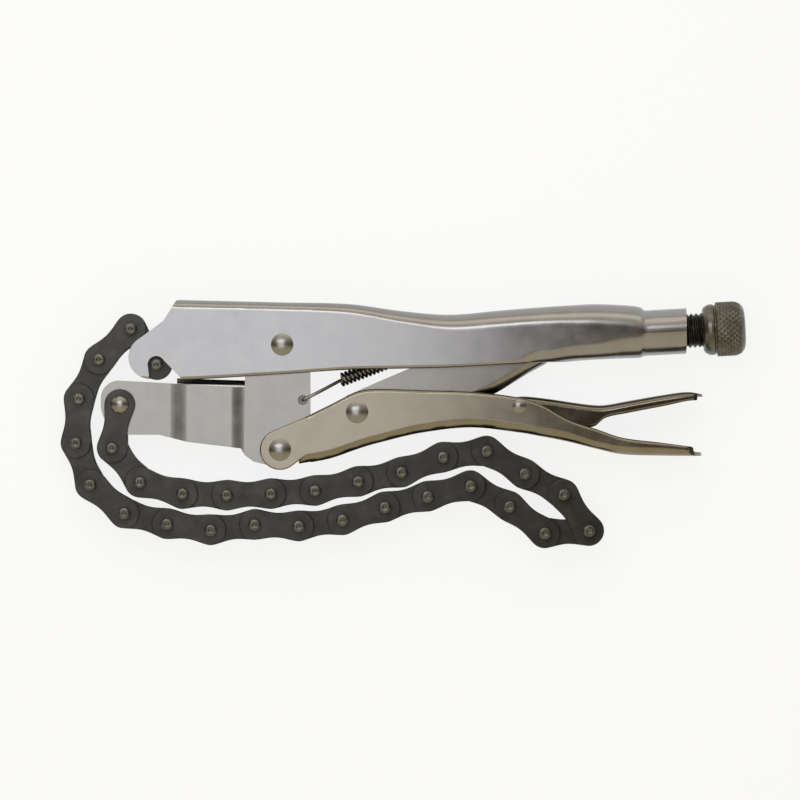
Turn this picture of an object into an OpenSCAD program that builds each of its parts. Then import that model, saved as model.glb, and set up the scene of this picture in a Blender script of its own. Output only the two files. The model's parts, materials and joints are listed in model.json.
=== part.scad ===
// Locking chain pliers: two pressed channel handles, a pressed jaw and a 30-link chain.
// The pliers lie flat on the XY plane. The origin is under the jaw rivet, +X runs to the knob, +Z is up.

/* [Pressed channels] */
// Outer width of both channel handles
channel_w = 17.6; // [16:0.2:20]
// Sheet thickness of the handles and the jaw
wall = 2.4; // [2:0.1:3]
// Running gap on each side between nested pressings
side_gap = 0.4; // [0.3:0.05:0.5]
// Outer radius of the folds along the front of the handles
bend_r = 3.6; // [3:0.1:5]
// Sheet thickness of the toggle and the release lever
lever_t = 1.9; // [1.6:0.1:2.4]

/* [Pivots] */
// Rivet that carries the lower handle on the jaw
handle_pivot = [-0.8, -37.8]; // [-60:0.1:60]
// Rivet that carries the toggle in the lower handle
toggle_pivot = [26.9, -24.3]; // [-60:0.1:60]
// Rivet that carries the release lever in the lower handle
release_pivot = [85.2, -22]; // [-60:0.1:100]
// Rivet that carries the first chain link on the jaw arm
chain_anchor = [-58.4, -21.5]; // [-80:0.1:60]
// Shank of the three main rivets
rivet_d = 5.6; // [4.6:0.1:6.4]
// Domed head of the three main rivets
rivet_head_d = 8; // [7.4:0.1:9]
// Height of the main rivet heads
rivet_head_h = 1.4; // [1:0.1:2]
// Shank of the release lever rivet
release_rivet_d = 3.4; // [2.6:0.1:4]
// Head of the release lever rivet
release_head_d = 5; // [4.6:0.1:6]
// Height of the release lever rivet's head
release_head_h = 1.1; // [0.8:0.1:1.5]
// Shank of the chain anchor rivet
anchor_d = 4.8; // [4:0.1:5.4]
// Head of the chain anchor rivet
anchor_head_d = 6.6; // [6.2:0.1:7.4]
// Height of the chain anchor rivet's head
anchor_head_h = 1.7; // [1.2:0.1:2.2]
// Difference between a pivot hole and its rivet
pivot_fit = 0.2; // [0.1:0.05:0.4]

/* [Hook nose] */
// Seat of the hooked chain pin in the nose
hook_seat = [-45.2, -7.2]; // [-60:0.1:0]
// Width of the hook notch at its round end
notch_w = 6.2; // [5.6:0.1:7]
// Radius of the nose
nose_r = 7.7; // [7:0.1:8.4]
// Front edge of the fold between the two ears
web_front = -37.6; // [-39:0.1:-33]

/* [Chain] */
// Distance between two chain pins
chain_pitch = 15.875; // [15.4:0.005:16.4]
// Height of a chain plate across its round ends
link_h = 11; // [10:0.1:11.6]
// Height of a chain plate at its waist
waist_h = 8.8; // [7.6:0.1:9.2]
// Thickness of a chain plate
plate_t = 1.8; // [1.5:0.1:2]
// Free width between two inner plates
inner_gap = 4.2; // [3.6:0.1:4.6]
// Running gap between neighbouring plates
plate_gap = 0.2; // [0.1:0.05:0.3]
// Diameter of a chain pin
chain_pin_d = 4.4; // [3.8:0.1:4.8]
// Length of a chain pin, which reaches past both ears of the nose
chain_pin_l = 19.6; // [18.8:0.1:20]
// Outer diameter of a bush between two inner plates
bush_d = 7.2; // [6.6:0.1:8]
// Difference between a link's bore and the pin in it
link_fit = 0.3; // [0.2:0.05:0.4]
// Difference between a pressed bore and its pin
press_fit = 0.04; // [0.02:0.01:0.08]

/* [Adjusting screw] */
// Tilt of the tail and its screw against the handle
tail_tilt = 3; // [0:0.5:5]
// Outer diameter of the tube that holds the screw
neck_d = 16.4; // [15.8:0.1:17.2]
// Length of that tube
neck_l = 18; // [14:0.5:20]
// Outer diameter of the screw thread
screw_d = 12.4; // [11:0.1:12.8]
// Difference between the tube's bore and the screw
screw_fit = 0.4; // [0.2:0.1:0.6]
// Bare thread between the tube and the knob
screw_bare = 6; // [5:0.5:8]
// Diameter of the knurled knob
knob_d = 19.6; // [18:0.1:20.4]
// Length of the knurled knob
knob_l = 15.2; // [12:0.1:18]
// Depth to which the screw is held in the knob
knob_socket = 6; // [4:0.5:9]
// Free play between the screw's tip and the toggle
tip_play = 1.3; // [1.2:0.1:2]

/* [Toggle] */
// Centre of the toggle's round end, which bears on the screw
toggle_tip = [94.5, 5.3]; // [-20:0.1:110]
// Radius of that round end
toggle_tip_r = 4; // [3.4:0.1:4.4]
// Radius of the toggle round its rivet
toggle_eye_r = 7; // [6:0.1:7.4]
// Outer width of the toggle
toggle_w = 9.6; // [9:0.2:10.4]

/* [Return spring] */
// Hole in the jaw that takes the spring's hook
spring_hole = [7.4, -19.9]; // [-30:0.1:30]
// Diameter of that hole
spring_hole_d = 3.2; // [2.8:0.1:3.6]
// Diameter of the spring wire
wire_d = 1.1; // [0.9:0.05:1.2]
// Outer diameter of the coil
coil_d = 5; // [4.4:0.1:5.4]
// Number of curls
coil_turns = 19; // [15:1:21]

/* [Hidden] */
$fn = 48;

// Half widths of the nested layers, from the middle plane outwards
channel_half = channel_w / 2;
channel_in = channel_half - wall;
jaw_half = channel_in - side_gap;
inner_half = inner_gap / 2 + plate_t;
outer_in = inner_half + plate_gap;
outer_half = outer_in + plate_t;
arm_half = inner_half;

// Height of the middle plane: the pliers rest on whichever part stands proudest
mid_z = max(channel_half + rivet_head_h, knob_d / 2, chain_pin_l / 2);

jaw_pivot = [0, 0];
steel = [0.74, 0.73, 0.69];
bright = [0.82, 0.81, 0.78];
black = [0.20, 0.20, 0.20];
far = 200;

// Heading of each link in degrees, from the anchor rivet round the loop;
// the last two links are found from the pin before them and the hook seat.
link_heading = [-100, -51, -15, -2, 2, 4, 12, 12, 20, 8, -31, -28, -55, -177, -217, -208,
    -166, -166, -163, -172, -182, -173, -188, -194, -220, -251, -274, -297];
laid_links = len(link_heading);
link_count = laid_links + 2;

function unit(v) = v / norm(v);
function heading(a) = [cos(a), sin(a)];
function turned_left(v) = [-v[1], v[0]];

// Pins of the links whose headings are given
laid_pins = [for (i = 0, p = chain_anchor; i <= laid_links;
    p = i < laid_links ? p + chain_pitch * heading(link_heading[i]) : p, i = i + 1) p];

// The pin over the nose stands one pitch from both of its neighbours
last_laid = laid_pins[laid_links];
closing = hook_seat - last_laid;
over_nose = last_laid + closing / 2
    + turned_left(unit(closing)) * sqrt(pow(chain_pitch, 2) - pow(norm(closing) / 2, 2));
chain_pins = concat(laid_pins, [over_nose, hook_seat]);

// A smooth curve through knots: column c of rows whose first column is x
function slope(k, c, i) =
    let (a = k[max(i - 1, 0)], b = k[min(i + 1, len(k) - 1)]) (b[c] - a[c]) / (b[0] - a[0]);
function span_of(k, x, i = 0) = i >= len(k) - 2 || x < k[i + 1][0] ? i : span_of(k, x, i + 1);
function curve_at(k, c, x) =
    let (i = span_of(k, x), a = k[i], b = k[i + 1], w = b[0] - a[0], s = (x - a[0]) / w)
    (2 * pow(s, 3) - 3 * pow(s, 2) + 1) * a[c] + (pow(s, 3) - 2 * pow(s, 2) + s) * w * slope(k, c, i)
    + (3 * pow(s, 2) - 2 * pow(s, 3)) * b[c] + (pow(s, 3) - pow(s, 2)) * w * slope(k, c, i + 1);

// Section of a folded channel whose web is on top, as [y, z] points:
// half width w, sheet t, fold radius rt, lower edge radius rb, half width g of the open mouth,
// thickness lip of the edge that turns in towards the mouth and the little it is eased at the seam
fold_steps = 5;
edge_steps = 4;
function arc_points(cy, cz, r, from, to, n) =
    [for (i = [0:n]) let (a = from + (to - from) * i / n) [cy + r * sin(a), cz + r * cos(a)]];
function half_outer(top, bottom, w, rt, rb, g, ease) = concat(
    [[bottom + ease, g]],
    arc_points(bottom + rb, w - rb, rb, -90, 0, edge_steps),
    arc_points(top - rt, w - rt, rt, 0, 90, fold_steps));
function inner_edge_r(rb, t) = max(rb - t, 0.1);
function half_inner(top, bottom, w, t, rt, rb, g, lip) =
    let (ri = inner_edge_r(rb, t), rf = max(rt - t, 0.3)) concat(
    [[bottom + lip, g]],
    arc_points(bottom + lip + ri, w - t - ri, ri, -90, 0, edge_steps),
    arc_points(top - t - rf, w - t - rf, rf, 0, 90, fold_steps));
function mirrored(pts) = [for (i = [len(pts) - 1:-1:0]) [pts[i][0], -pts[i][1]]];
function backwards(pts) = [for (i = [len(pts) - 1:-1:0]) pts[i]];
function channel_ring(top, bottom, w, t, rt, rb, g, lip, ease) =
    let (o = half_outer(top, bottom, w, rt, rb, g, ease), n = half_inner(top, bottom, w, t, rt, rb, g, lip))
    concat(o, mirrored(o), backwards(concat(n, mirrored(n))));

// A lofted body through rings of equal length, capped at both ends
module lofted(rings) {
    n = len(rings[0]);
    m = len(rings);
    sides = [for (i = [0:m - 2]) for (j = [0:n - 1])
        let (a = i * n + j, b = i * n + (j + 1) % n, c = b + n, d = a + n)
        each [[a, b, c], [a, c, d]]];
    first = [[for (j = [n - 1:-1:0]) j]];
    last = [[for (j = [0:n - 1]) (m - 1) * n + j]];
    polyhedron([for (r = rings) each r], concat(sides, first, last), convexity = 8);
}

// A folded channel through rows [x, top, bottom, half width, fold radius, edge radius, shut],
// where shut runs from 0, an open channel, to 1, a rolled tube with a seam.
// The sheet is pressed thinner where the section is shallow and where it is rolled shut.
seam = 0.4;
seam_ease = 0.2;
thin_lip = 0.15;
shallow = 0.7;
roll_thin = 1 - (neck_d - screw_d - screw_fit) / 2 / wall;
function spaced(x0, x1, stations) = [for (i = [0:stations]) x0 + (x1 - x0) * i / stations];
function all_along(rows, stations) = spaced(rows[0][0], rows[len(rows) - 1][0], stations);
module channel(rows, t, along) {
    lofted([for (x = along)
        let (top = curve_at(rows, 1, x), bottom = curve_at(rows, 2, x),
            w = curve_at(rows, 3, x), rb = curve_at(rows, 5, x), shut = min(max(curve_at(rows, 6, x), 0), 1),
            sheet = min(t * (1 - roll_thin * shut), shallow * (top - bottom)),
            mouth = w - sheet - inner_edge_r(rb, sheet) - thin_lip,
            ring = channel_ring(top, bottom, w, sheet, curve_at(rows, 4, x), rb,
                mouth + (seam / 2 - mouth) * shut,
                thin_lip + (sheet - thin_lip) * min(4 * shut, 1), seam_ease * shut))
        [for (p = ring) [x, p[0], p[1]]]]);
}

// A plate of the given outline between two heights, once on each side of the middle plane
module both_sides(from, to) {
    translate([0, 0, mid_z + from]) linear_extrude(to - from) children();
    translate([0, 0, mid_z - to]) linear_extrude(to - from) children();
}

module across(half) {
    translate([0, 0, mid_z - half]) linear_extrude(2 * half) children();
}

module pivot_hole(at, d) {
    translate([at[0], at[1], mid_z - far / 2]) cylinder(d = d, h = far);
}

// A domed rivet through the middle plane, its heads standing on faces at half
head_flat = 0.4;
module rivet(at, d, half, head_d, head_h) {
    profile = concat([[0, -half - head_h], [head_d / 2 * head_flat, -half - head_h]],
        [for (i = [1:6]) let (a = 90 * i / 6)
            [head_d / 2 * (head_flat + (1 - head_flat) * sin(a)), -half - head_h * cos(a)]],
        [[d / 2, -half], [d / 2, half]],
        [for (i = [6:-1:1]) let (a = 90 * i / 6)
            [head_d / 2 * (head_flat + (1 - head_flat) * sin(a)), half + head_h * cos(a)]],
        [[head_d / 2 * head_flat, half + head_h], [0, half + head_h]]);
    translate([at[0], at[1], mid_z]) rotate_extrude() polygon(profile);
}

// Tail: the tube and the screw share one tilted axis, on which this puts its children, along +X
tail_root = [127.3, 4];
module on_tail(along) {
    translate([tail_root[0], tail_root[1], mid_z]) rotate([0, 0, tail_tilt])
        translate([along, 0, 0]) rotate([0, 90, 0]) children();
}

// Upper handle, whose rows run from the nose to the neck
nose_x = hook_seat[0] - nose_r - 2.4;
nose_centre = [hook_seat[0] - 2.3, hook_seat[1] + 2.6];
shoulder_x = tail_root[0] + 1.4;
shoulder_l = 1.8;
neck_start = shoulder_x + 2 * shoulder_l;
function neck_row(x) =
    let (y = tail_root[1] + (x - tail_root[0]) * tan(tail_tilt), r = neck_d / 2)
    [x, y + r, y - r, r, r - 0.5, r - 0.6, 1];
upper_rows = [
    [nose_x, 16.5, -12.4, channel_half, bend_r, 0.6, 0],
    [web_front, 16.1, -12.7, channel_half, bend_r, 0.6, 0],
    [0, 15.2, -10.6, channel_half, bend_r, 0.6, 0],
    [24, 14.6, -9, channel_half, bend_r + 0.6, 0.6, 0],
    [43, 12.1, -8.6, channel_half, bend_r + 1.6, 0.7, 0],
    [60, 10.8, -8.2, channel_half, bend_r + 2.6, 0.8, 0],
    [78, 12.3, -7.2, channel_half, bend_r + 3.2, 1.2, 0],
    [100, 14, -5.8, channel_half, bend_r + 3.6, 2.4, 0],
    [116, 14.7, -5.3, channel_half - 0.05, 8, 6.6, 0.75],
    [123.5, 14.2, -4.9, channel_half - 0.15, 8.2, 7.6, 0.95],
    [shoulder_x, 13.5, -4.7, channel_half - 0.3, 8, 7.8, 1],
    neck_row(shoulder_x + shoulder_l), neck_row(neck_start), neck_row(neck_start + shoulder_l)];
upper_stations = 42;
upper_along = concat(spaced(nose_x, shoulder_x, upper_stations),
    spaced(shoulder_x + shoulder_l / 2, neck_start + shoulder_l, 4));

// Outline of the two ears, which end in the round hook nose
module nose_outline() {
    translate(nose_centre) circle(r = nose_r);
    polygon([nose_centre + (nose_r - 1) * heading(135), [-42.7, 8.5], [web_front, 16.6],
        [web_front + 12, 40], [web_front + 12, -40], nose_centre + (nose_r - 2) * heading(-80)]);
}

// The notch runs from the seat of the chain pin to a wide mouth in the lower edge
module notch_outline() {
    r = notch_w / 2;
    mouth_y = hook_seat[1] - nose_r;
    translate(hook_seat) circle(r = r);
    polygon([hook_seat + (r - 0.3) * heading(180), [hook_seat[0] - r * 0.7, mouth_y],
        [hook_seat[0] + r + 8.5, mouth_y], hook_seat + (r - 0.3) * heading(30)]);
}

// Lanced tab inside the upper handle that holds the spring's rear hook
tab_x = 60;
tab_t = 1.6;
tab_w = 5;
coil_start = [21, -12.8];
coil_end = [tab_x - 4.5, 0.4];
tab_hole_d = wire_d + 0.8;
tab_low = coil_end[1] - 1;
tab_eye_y = coil_end[1] + 1.2;
module spring_tab() {
    difference() {
        translate([tab_x, tab_low, mid_z - tab_w / 2])
            cube([tab_t, curve_at(upper_rows, 1, tab_x) - wall / 2 - tab_low, tab_w]);
        translate([tab_x - 1, tab_eye_y, mid_z]) rotate([0, 90, 0]) cylinder(d = tab_hole_d, h = tab_t + 2);
    }
}

module upper_handle() {
    color(steel) {
        difference() {
            translate([0, 0, mid_z]) channel(upper_rows, wall, upper_along);
            across(channel_half + 1) difference() {
                translate([-far, -far / 2]) square([far + web_front + 8, far]);
                nose_outline();
            }
            across(channel_half + 1) notch_outline();
            translate([-far + web_front, -far / 2, mid_z - channel_in]) cube([far, far, 2 * channel_in]);
            pivot_hole(jaw_pivot, rivet_d + pivot_fit);
            translate([neck_start, -far / 2, -far / 2]) cube(far);
        }
        spring_tab();
    }
}

// Rear end of the rolled tube, a node of its own that meets the shoulder
tube_joint = 0.05;
tube_ease = 0.5;
module tail_tube() {
    bore = (screw_d + screw_fit) / 2;
    r = neck_d / 2;
    color(steel) difference() {
        on_tail(0) rotate_extrude() polygon([[bore, 0], [r, 0], [r, neck_l - tube_ease],
            [r - tube_ease, neck_l], [bore, neck_l]]);
        translate([neck_start + tube_joint - far, -far / 2, -far / 2]) cube(far);
    }
}

module jaw_rivet() {
    color(bright) rivet(jaw_pivot, rivet_d, channel_half, rivet_head_d, rivet_head_h);
}

// Jaw: two cheeks that step inwards twice towards the chain, joined by a web along the lower edge
first_step = [-13.4, -18.6];
second_step = [-34, -40.4];
jaw_body_w = 23.4;
jaw_right = first_step[0] + jaw_body_w;
step_drop = (jaw_half - arm_half) / 2;
function eased(s) = let (c = min(max(s, 0), 1)) (1 - cos(180 * c)) / 2;
function step_at(edge, x) = eased((edge[0] - x) / (edge[0] - edge[1]));
function cheek_z(x) = jaw_half - step_drop * (step_at(first_step, x) + step_at(second_step, x));
cheek_left = -70;
step_x = [for (e = [first_step, second_step]) for (i = [0:6]) e[0] + (e[1] - e[0]) * i / 6];
cheek_x = concat([jaw_right + 2], step_x, [cheek_left]);

module cheek_strip(side) {
    faces = [for (x = cheek_x) [x, side * cheek_z(x)]];
    backs = [for (x = cheek_x) [x, side * (cheek_z(x) - wall)]];
    translate([0, far / 2, mid_z]) rotate([90, 0, 0]) linear_extrude(far)
        polygon(concat(faces, backwards(backs)));
}

arm_upper_r = 6.5;
arm_lower_r = 11;
arm_left = chain_anchor[0] - 6.9;
arm_top = chain_anchor[1] + 8.6;
arm_low = chain_anchor[1] - 10.9;
function corner(centre, r, from, to) = [for (i = [0:8]) centre + r * heading(from + (to - from) * i / 8)];
jaw_eye_r = 8.2;
jaw_foot_r = 6.6;
module jaw_outline() {
    circle(r = jaw_eye_r);
    translate(handle_pivot) circle(r = jaw_foot_r);
    polygon([[first_step[0], 3], [0, jaw_eye_r], [jaw_right, 2], [jaw_right, -30],
        handle_pivot + [jaw_foot_r, 0], handle_pivot - [0, jaw_foot_r],
        [first_step[0] + 3, handle_pivot[1] - 4.2], [first_step[0], handle_pivot[1] - 2],
        [first_step[0] - 1.5, arm_low - 4.9], [second_step[0], arm_low - 2.6], [second_step[1] - 4, arm_low],
        each corner([arm_left + arm_lower_r, arm_low + arm_lower_r], arm_lower_r, 270, 180),
        each corner([arm_left + arm_upper_r, arm_top - arm_upper_r], arm_upper_r, 180, 90),
        [second_step[1], arm_top - 1], [first_step[1], arm_top - 2.4], [first_step[0], arm_top - 2.4]]);
}

// The webs that join the cheeks between the two steps: one below, one above that stands a little proud
module jaw_web() {
    inside = cheek_z((first_step[1] + second_step[0]) / 2) - wall / 2;
    across(inside) {
        polygon([[first_step[1], arm_low - 4.6], [second_step[0], arm_low - 2.6],
            [second_step[0], arm_low - 2.6 + wall], [first_step[1], arm_low - 4.6 + wall]]);
        polygon([[second_step[0], arm_top - 2.6], [first_step[1], arm_top - 3.4],
            [first_step[1], arm_top - 3.4 + wall], [second_step[0], arm_top - 2.6 + wall]]);
    }
}

module lower_jaw() {
    color(steel) difference() {
        union() {
            for (side = [-1, 1]) intersection() {
                cheek_strip(side);
                across(channel_half) jaw_outline();
            }
            jaw_web();
        }
        pivot_hole(jaw_pivot, rivet_d + pivot_fit);
        pivot_hole(handle_pivot, rivet_d + pivot_fit);
        pivot_hole(chain_anchor, anchor_d + pivot_fit);
        pivot_hole(spring_hole, spring_hole_d);
    }
}

module chain_anchor_rivet() {
    color(bright) rivet(chain_anchor, anchor_d, outer_half, anchor_head_d, anchor_head_h);
}

// Lower handle: a channel open towards the upper handle that thins to a flat tail
lower_rows = [
    [6, -27.2, -43, channel_half, bend_r, 0.6, 0],
    [17, -21.7, -41, channel_half, bend_r, 0.6, 0],
    [27, -16.9, -37.6, channel_half, bend_r, 0.6, 0],
    [34, -16, -35.5, channel_half, bend_r, 0.6, 0],
    [50, -16.4, -31.7, channel_half, bend_r, 0.6, 0],
    [68, -17, -29.8, channel_half, bend_r, 0.6, 0],
    [85, -19, -31.6, channel_half, bend_r, 0.6, 0],
    [93, -21.6, -33, channel_half, bend_r, 0.6, 0],
    [103, -27, -35, channel_half, bend_r, 0.6, 0],
    [113, -30.4, -37.5, channel_half, bend_r - 0.6, 0.6, 0],
    [122, -33.4, -39.4, channel_half, 3.2, 0.5, 0],
    [136, -35.2, -39.9, channel_half, 3, 0.4, 0],
    [151, -37.2, -40, channel_half - 0.6, 2, 0.15, 0]];
lower_stations = 40;
web_start = 10.2;
handle_eye_r = 7.2;
tail_end = lower_rows[len(lower_rows) - 1][0];
tail_r = channel_half + 0.4;
tip_trim = 0.2;

// The lower handle's rows, turned over so that the web is on top
function turned_over(rows) = [for (r = rows) [r[0], -r[2], -r[1], r[3], r[4], r[5], r[6]]];

module lower_ears() {
    translate(handle_pivot) circle(r = handle_eye_r);
    polygon([handle_pivot + handle_eye_r * heading(117), [7, curve_at(lower_rows, 1, 7)],
        [7, curve_at(lower_rows, 2, 7) + 4.2], handle_pivot + handle_eye_r * heading(-60)]);
}

module lower_handle() {
    color(steel) difference() {
        union() {
            translate([0, 0, mid_z]) mirror([0, 1, 0])
                channel(turned_over(lower_rows), wall, all_along(lower_rows, lower_stations));
            both_sides(channel_in, channel_half) lower_ears();
        }
        translate([-far + web_start, -far / 2, mid_z - channel_in]) cube([far, far, 2 * channel_in]);
        pivot_hole(handle_pivot, rivet_d + pivot_fit);
        pivot_hole(toggle_pivot, rivet_d + pivot_fit);
        pivot_hole(release_pivot, release_rivet_d + pivot_fit);
        translate([tail_end - tip_trim - tail_r, 0, mid_z]) rotate([90, 0, 0])
            linear_extrude(far) difference() {
            translate([0, -far / 2]) square(far);
            circle(r = tail_r);
        }
    }
}

module handle_rivet() {
    color(bright) rivet(handle_pivot, rivet_d, channel_half, rivet_head_d, rivet_head_h);
}

module toggle_rivet() {
    color(bright) rivet(toggle_pivot, rivet_d, channel_half, rivet_head_d, rivet_head_h);
}

module release_rivet() {
    color(bright) rivet(release_pivot, release_rivet_d, channel_half, release_head_d, release_head_h);
}

// Toggle: a channel with its web along the rear edge, round at the rivet and at the screw
knee = [77.2, -17.4];
heel = [96.6, -5.9];
module toggle_outline() {
    translate(toggle_pivot) circle(r = toggle_eye_r);
    translate(toggle_tip) circle(r = toggle_tip_r);
    polygon([toggle_pivot + toggle_eye_r * heading(110), [37.5, -12], [60, -2.6],
        toggle_tip + toggle_tip_r * heading(115), toggle_tip + toggle_tip_r * heading(-10),
        heel, knee, [60, -24], toggle_pivot + toggle_eye_r * heading(-85)]);
}

module toggle_web_outline() {
    inward = [-0.5, 0.86] * lever_t;
    polygon([heel, knee, [60, -24], [60, -24] + inward, knee + inward, heel + inward]);
}

module toggle_link() {
    half = toggle_w / 2;
    color(steel) difference() {
        union() {
            both_sides(half - lever_t, half) toggle_outline();
            both_sides(half - lever_t / 2, channel_in - side_gap)
                translate(toggle_pivot) circle(r = toggle_eye_r - 1.8);
            across(half - lever_t / 2) intersection() {
                toggle_outline();
                toggle_web_outline();
            }
            translate([toggle_tip[0], toggle_tip[1], mid_z - half]) cylinder(r = toggle_tip_r, h = 2 * half);
        }
        pivot_hole(toggle_pivot, rivet_d + pivot_fit);
    }
}

// Release lever: a narrow channel inside the lower handle with a long thumb tail
release_half = channel_in - side_gap - 0.03;
release_rows = [
    [79.5, -19.6, -24.4, release_half, 2.2, 0.6, 0],
    [86, -18.6, -26, release_half, 2.4, 0.6, 0],
    [95, -19.4, -27.6, release_half, 2.6, 0.6, 0],
    [106, -21, -29.6, release_half, 2.6, 0.6, 0],
    [112, -21.7, -29.4, release_half, 2.6, 0.6, 0],
    [116, -21.7, -26.4, release_half, 2.6, 0.6, 0],
    [124, -20.3, -24.6, release_half, 2.6, 0.6, 0],
    [138, -17.9, -21.9, release_half, 2.4, 0.3, 0],
    [146, -17, -20.2, release_half, 2.2, 0.3, 0],
    [151.4, -17.9, -20, release_half - 0.4, 1.4, 0.1, 0]];
release_stations = 28;
release_tip = release_rows[len(release_rows) - 1][0];
release_r = release_half + 0.4;
module release_lever() {
    color(steel) difference() {
        translate([0, 0, mid_z]) channel(release_rows, lever_t, all_along(release_rows, release_stations));
        pivot_hole(release_pivot, release_rivet_d + pivot_fit);
        translate([release_tip - tip_trim - release_r, 0, mid_z]) rotate([90, 0, 0])
            linear_extrude(far) difference() {
            translate([0, -far / 2]) square(far);
            circle(r = release_r);
        }
    }
}

// Screw: a plain tip just behind the toggle, a threaded shank and a knurled knob on one axis.
// The tip's stem turns in the shank, so that the tip only slides while the shank turns.
knob_start = neck_l + screw_bare;
tip_along = (toggle_tip[0] + toggle_tip_r + tip_play - tail_root[0]) / cos(tail_tilt);
tip_chamfer = 1.6;
tip_l = 3;
stem_d = 5;
stem_l = 6;
socket_d = 7;
turn_gap = 0.1;
shank_along = tip_along + tip_l + turn_gap;
module screw_tip() {
    r = screw_d / 2 - tip_chamfer;
    color(black) on_tail(0) rotate_extrude() polygon([[0, tip_along], [r - 1, tip_along], [r, tip_along + 1],
        [r, tip_along + tip_l], [stem_d / 2, tip_along + tip_l], [stem_d / 2, shank_along + stem_l],
        [0, shank_along + stem_l]]);
}

module screw_shank() {
    r = screw_d / 2;
    bore = stem_d / 2 + turn_gap;
    stem_end = shank_along + stem_l + turn_gap;
    color(black) on_tail(0) rotate_extrude() polygon([[bore, shank_along], [r - tip_chamfer, shank_along],
        [r, shank_along + tip_chamfer], [r, knob_start], [socket_d / 2, knob_start],
        [socket_d / 2, knob_start + knob_socket], [0, knob_start + knob_socket],
        [0, stem_end], [bore, stem_end]]);
}

module screw_knob() {
    r = knob_d / 2;
    bore = socket_d / 2 + turn_gap;
    color(black) on_tail(knob_start) rotate_extrude() polygon([
        [bore, turn_gap], [screw_d / 2 + 0.8, turn_gap],
        [r - 0.5, 2.6], [r, 3.2], [r, knob_l - 4], [r - 1.2, knob_l - 1.2], [r - 3.6, knob_l], [0, knob_l],
        [0, knob_socket + turn_gap], [bore, knob_socket + turn_gap]]);
}

// Return spring: a hook through the jaw, a close coil and a hook in the handle's tab
coil_r = (coil_d - wire_d) / 2;
coil_axis = unit([coil_end[0] - coil_start[0], coil_end[1] - coil_start[1], 0]);
coil_side = [-coil_axis[1], coil_axis[0], 0];
curl_rings = 8;
wire_sides = 6;
hook_lift = jaw_half + wire_d / 2 + 0.2;
hook_run = [for (s = [0:0.25:1]) let (a = 90 * s)
    [spring_hole[0] + 1.2 * (1 - cos(a)), spring_hole[1] + 0.6 * (1 - cos(a)),
        hook_lift - 1.2 * (1 - sin(a))]];
front_hook = concat([[spring_hole[0], spring_hole[1], jaw_half - wall - 0.8]], hook_run,
    [[jaw_right + 2.2, spring_hole[1] + 2.4, hook_lift],
        [jaw_right + 6, spring_hole[1] + 4.4, hook_lift - 2]]);
coil = [for (i = [0:coil_turns * curl_rings])
    let (s = i / (coil_turns * curl_rings), a = 360 * i / curl_rings)
    let (axis_point = coil_start + (coil_end - coil_start) * s)
    [axis_point[0], axis_point[1], 0] + coil_r * (cos(a) * [0, 0, 1] - sin(a) * coil_side)];
rear_hook = [[coil_end[0] + 1.4, coil_end[1] + 0.6, coil_r * 0.5], [tab_x - 1.4, tab_eye_y, 0],
    [tab_x + tab_t + 1.2, tab_eye_y, 0], [tab_x + tab_t + 1.8, tab_eye_y - 0.5, 0],
    [tab_x + tab_t + 2, tab_eye_y - 2.4, 0]];
wire = concat(front_hook, coil, rear_hook);
wire_end = len(wire) - 1;
along_wire = [for (i = [0:wire_end]) unit(wire[min(i + 1, wire_end)] - wire[max(i - 1, 0)])];
function squared(u, t) = unit(u - (u * t) * t);
wire_up = [for (i = 0, u = squared([1, 0, 0.1], along_wire[0]); i <= wire_end;
    u = i < wire_end ? squared(u, along_wire[i + 1]) : u, i = i + 1) u];
wire_rings = [for (i = [0:wire_end]) [for (j = [0:wire_sides - 1]) let (a = 360 * j / wire_sides)
    wire[i] + wire_d / 2 * (cos(a) * wire_up[i] + sin(a) * cross(along_wire[i], wire_up[i]))]];

// Least gap of the wire to itself, measured between points over half a curl apart
wire_gap = min([for (i = [0:wire_end]) for (j = [i + curl_rings / 2 + 1:1:wire_end])
    norm(wire[i] - wire[j])]) - wire_d;
echo(spring_least_gap = wire_gap);

module return_spring() {
    color(bright) translate([0, 0, mid_z]) lofted(wire_rings);
}

// Chain plate outline between two pins, drawn along +X: two round ends and a hollow waist
module plate_outline(bore_a, bore_b) {
    r = link_h / 2;
    dip = r - waist_h / 2;
    reach = chain_pitch / 2 - r * 0.35;
    waist_r = (pow(reach, 2) + pow(dip, 2)) / (2 * dip);
    difference() {
        union() {
            circle(r = r);
            translate([chain_pitch, 0]) circle(r = r);
            difference() {
                translate([0, -r]) square([chain_pitch, link_h]);
                for (s = [-1, 1])
                    translate([chain_pitch / 2, s * (waist_h / 2 + waist_r)]) circle(r = waist_r, $fn = 96);
            }
        }
        circle(d = bore_a);
        translate([chain_pitch, 0]) circle(d = bore_b);
    }
}

module chain_pin(at) {
    nose = 0.7;
    r = chain_pin_d / 2;
    h = chain_pin_l / 2;
    translate([at, 0, mid_z]) rotate_extrude() polygon([
        [0, -h], [r - nose, -h], [r, -h + nose], [r, h - nose], [r - nose, h], [0, h]]);
}

module chain_bush(at) {
    h = inner_gap - press_fit;
    translate([at, 0, mid_z - h / 2]) difference() {
        cylinder(d = bush_d, h = h);
        translate([0, 0, -1]) cylinder(d = chain_pin_d + link_fit, h = h + 2);
    }
}

pressed = chain_pin_d + press_fit;
module outer_link(first) {
    both_sides(outer_in, outer_half) plate_outline(first ? anchor_d + pivot_fit : pressed, pressed);
    for (at = first ? [chain_pitch] : [0, chain_pitch]) chain_pin(at);
}

module inner_link(last) {
    loose = chain_pin_d + link_fit;
    both_sides(inner_gap / 2, inner_half) plate_outline(loose, last ? pressed : loose);
    chain_bush(0);
    if (last) chain_pin(chain_pitch);
    else chain_bush(chain_pitch);
}

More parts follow.
